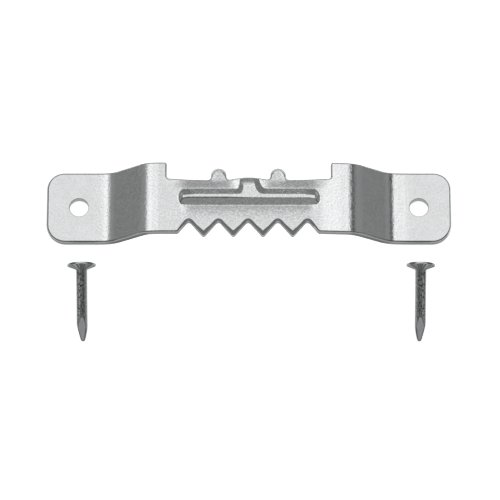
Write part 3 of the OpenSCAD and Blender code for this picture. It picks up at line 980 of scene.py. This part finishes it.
def makeCutEdge():
    c = cutEdge
    material, tree, shader = newMaterial("shearedEdge")
    place = put(tree, "ShaderNodeTexCoord").outputs["Object"]
    grain = placed(tree, grainGroup, place, c["grainScale"], c["grainStretch"])
    begin, reached = c["tornFrom"]
    torn = put(tree, "ShaderNodeMapRange", {
        "Value": painted(tree, "shear"), "From Min": begin, "From Max": reached}).outputs[0]
    wall = blendColor(tree, torn, c["burnished"], c["torn"])
    # painted shade on the legs' cut walls
    wall = blendColor(tree, painted(tree, "leg"), wall, c["wallShadeOnLeg"])
    wall = blendColor(tree, painted(tree, "bore"), wall, c["inHole"])
    tree.links.new(wall, shader.inputs["Base Color"])
    shader.inputs["Metallic"].default_value = 1.0
    shader.inputs["Roughness"].default_value = c["roughness"]
    bumped(tree, shader, grain["Height"], c["grainDepth"] * mm)
    return material


wireFinish = {
    # shank
    "core": (0.035, 0.37),  # darkest and lightest tone along its middle
    "spots": (0.05, 0.9),  # how sharply the two set off from each other
    "edge": 0.8,  # painted light towards its outline, where the surface turns away from the view
    "edgeFrom": (0.35, 0.72),
    "edgeSpots": 0.6,  # how much of that tone the dark spots keep
    "paleSide": (-0.14, -0.52),  # where painted light starts on the inner side and is strongest, mm
    "paleTone": 0.75,  # how much of the outline's painted light it has there
    "reflectionStreak": 0.85,  # painted reflection: a pale streak along the outer side
    "streakPlace": (0.27, 0.17),  # where it lies and how wide it is, mm
    # point: distances inwards from the wide facets' surface, and from the corners between facets
    "facet": 0.55,  # pressed smooth by the point's cutter
    "facetSpots": 0.12,
    "facetFrom": (0.035, 0.005),
    "facetBeside": (0.07, 0.13),
    "facetRim": 0.2,
    "facetRimFrom": (0.1, 0.04),
    # head
    "head": (0.05, 0.55),  # streaks that run out from the shank
    "headFrom": (-0.15, 0.05),  # from where the shank meets the head's slant, mm
    "rayScale": 3.5,
    "rays": (0.35, 0.65),
    "headTop": (0.22, 0.45),
    "topFrom": (-0.05, 0.02),  # from the rim's lower edge, mm
    "rim": (0.85, 0.16, 0.75),  # rubbed on top, with a painted highlight there, painted shade beside, painted light where it turns away
    "rimPlace": (0.45, 0.8, 1.15, 1.42),  # where these begin and end, mm from the middle
    "rimFrom": (1.5, 1.0),  # from the head's outline, as shares of its rounding
    # all of it
    "tint": (0.95, 0.99, 1.0),
    "metallic": 0.35,
    "roughness": 0.5,
    "rimRoughness": 0.3,
    "grainScale": 8.0,  # in the wire's own millimetres
    "grainStretch": (1, 1, 0.6),
    "grainDepth": 0.012,  # mm
}


def makeWire():
    w, n = wireFinish, nail
    material, tree, shader = newMaterial("drawnWire")
    place = put(tree, "ShaderNodeAttribute", attribute_name="wire").outputs["Vector"]
    x, y, z = put(tree, "ShaderNodeSeparateXYZ", {0: place}).outputs
    acrossX, acrossY = calc(tree, "ABSOLUTE", x), calc(tree, "ABSOLUTE", y)
    grain = placed(tree, grainGroup, place, w["grainScale"], w["grainStretch"])
    spots = ramped(tree, grain["Mask"], *w["spots"])
    # shank: dark and mottled, with painted light towards its outline and on its inner side, and a painted
    # reflection along one streak
    tone = blend(tree, spots, *w["core"])
    # painted reflection: a pale streak along the outer side
    middle, wide = w["streakPlace"]
    offStreak = calc(tree, "ABSOLUTE", calc(tree, "SUBTRACT", x, middle))
    onStreak = calc(tree, "MULTIPLY", ramped(tree, offStreak, wide, 0.0), spots)
    tone = blend(tree, onStreak, tone, w["reflectionStreak"])
    edge = calc(tree, "MULTIPLY", blend(tree, spots, w["edgeSpots"], 1.0), w["edge"])
    # painted light on the inner side
    inner = calc(tree, "MULTIPLY", edge, w["paleTone"])
    tone = blend(tree, ramped(tree, x, *w["paleSide"]), tone, inner)
    # painted light at the outline, by how far the surface faces away
    grazing = put(tree, "ShaderNodeLayerWeight", {"Blend": 0.5}).outputs["Facing"]
    tone = blend(tree, ramped(tree, grazing, *w["edgeFrom"]), tone, edge)
    # point: two smooth facets
    cut, shortFacet = n["shankD"] / 2 - n["pointR"], n["shortFacet"][1]
    plane = calc(tree, "MULTIPLY_ADD", z, cut / n["cutLong"], n["pointR"])
    beyond = calc(tree, "SUBTRACT", plane, acrossY)
    tone = blend(tree, ramped(tree, beyond, *w["facetRimFrom"]), tone, w["facetRim"])
    sidePlane = calc(tree, "MULTIPLY_ADD", z, cut / shortFacet, n["pointR"])
    beside = calc(tree, "SUBTRACT", sidePlane, acrossX)
    onFacet = calc(tree, "MULTIPLY", ramped(tree, beyond, *w["facetFrom"]),
                   ramped(tree, beside, *w["facetBeside"]))
    tone = blend(tree, onFacet, tone, calc(tree, "MULTIPLY_ADD", spots, w["facetSpots"], w["facet"]))
    # head: streaks on its slant, a plain top
    ray = put(tree, "ShaderNodeTexNoise", {
        "W": calc(tree, "ARCTAN2", y, x), "Scale": w["rayScale"], "Detail": 2.0}, noise_dimensions="1D")
    streaks = blend(tree, ramped(tree, ray.outputs["Fac"], *w["rays"]), *w["head"])
    rimZ = n["length"] - n["dome"] - n["headRim"]
    under = rimZ - n["headCone"]
    onHead = ramped(tree, z, *(under + past for past in w["headFrom"]))
    tone = blend(tree, onHead, tone, streaks)
    onTop = ramped(tree, z, *(rimZ + past for past in w["topFrom"]))
    tone = blend(tree, onTop, tone, blend(tree, spots, *w["headTop"]))
    # and a rim rubbed on top, with a painted highlight there, painted shade beside it and painted light at
    # its ends
    topEnd, darkStart, darkEnd, paleStart = w["rimPlace"]
    offTop, turned = ramped(tree, acrossX, topEnd, darkStart), ramped(tree, acrossX, darkEnd, paleStart)
    rubbedHighlight, besideShade, turnedAwayLight = w["rim"]
    along = blend(tree, turned, blend(tree, offTop, rubbedHighlight, besideShade), turnedAwayLight)
    radius = calc(tree, "SQRT", calc(tree, "MULTIPLY_ADD", x, x, calc(tree, "MULTIPLY", y, y)))
    fromEdge = ramped(tree, radius, *(n["headD"] / 2 - share * n["rimR"] for share in w["rimFrom"]))
    rim = calc(tree, "MULTIPLY", onTop, fromEdge)
    tone = blend(tree, rim, tone, along)
    onRim = calc(tree, "MULTIPLY", rim, calc(tree, "SUBTRACT", 1.0, offTop))
    tree.links.new(scaled(tree, w["tint"], tone), shader.inputs["Base Color"])
    tree.links.new(blend(tree, onRim, w["metallic"], 1.0), shader.inputs["Metallic"])
    tree.links.new(blend(tree, onRim, w["roughness"], w["rimRoughness"]), shader.inputs["Roughness"])
    bumped(tree, shader, grain["Height"], w["grainDepth"] * mm)
    return material


stampedPlate.data.materials.append(makeZinc())
stampedPlate.data.materials.append(makeCutEdge())
wireMaterial = makeWire()
for piece in nailPieces.values():
    piece.data.materials.append(wireMaterial)
print("finishes applied")

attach(stampedPlate, "strip")
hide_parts("hanger_plate")
for side, body, node in ((-1, "left_nail", "nail_left"), (1, "right_nail", "nail_right")):
    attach(nailPieces[side], body)
    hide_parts(node)
